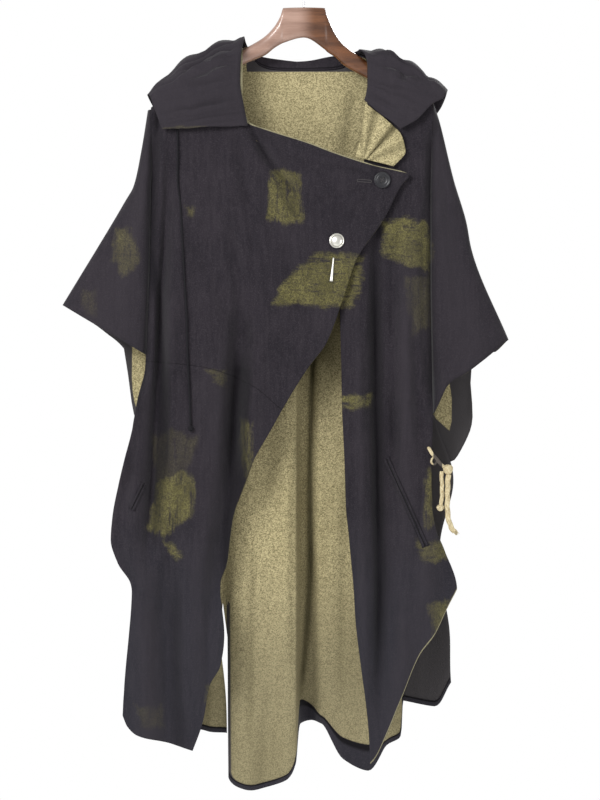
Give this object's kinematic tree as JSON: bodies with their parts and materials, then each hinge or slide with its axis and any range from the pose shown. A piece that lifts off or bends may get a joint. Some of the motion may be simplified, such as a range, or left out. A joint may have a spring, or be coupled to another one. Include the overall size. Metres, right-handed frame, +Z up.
{
  "type": "wool cloak on wooden hanger",
  "caption": "Wide-collared wool cloak with batwing sleeves and a swept wrap front, hung by its shoulders on a contoured wooden hanger with a wire hook.",
  "frame": {"origin": "inner top of the hanger's hook, where it rests on a rail", "axes": "+Z up, +X to the right of a person facing the cloak's front, -Y towards that person"},
  "size_m": [0.7498, 0.1304, 1.4064],
  "materials": {
    "black_wool": "matte fulled wool, charcoal black outside",
    "double_wool": "matte wool, olive melange inside and black outside",
    "hanger_wood": "polished reddish-brown wood",
    "hook_steel": "plain bright wire",
    "black_horn": "satin black, four holes",
    "silver_metal": "plain silver-coloured metal",
    "black_braid": "thin black braid",
    "pale_rope": "twisted natural-fibre rope"
  },
  "bodies": {
    "root": {"back": "double_wool", "black_button": "black_horn", "collar": "black_wool", "collar_stand": "black_wool", "drawcord": "black_braid", "drawcord_knot": "black_braid", "hanger_hook": "hook_steel", "hanger_wood": "hanger_wood", "hem_binding_left": "black_wool", "hem_binding_right": "black_wool", "left_front_bodice": "black_wool", "left_front_skirt": "black_wool", "left_neck_facing": "double_wool", "metal_button": "silver_metal", "metal_pin": "silver_metal", "pocket_welt_left": "black_wool", "pocket_welt_right": "black_wool", "right_front_bodice": "black_wool", "right_front_skirt": "black_wool", "rope_knot": "pale_rope", "rope_long_end": "pale_rope", "rope_loop": "pale_rope", "rope_short_end": "pale_rope", "sleeve_left": "black_wool", "sleeve_right": "black_wool"}
  },
  "joints": []
}
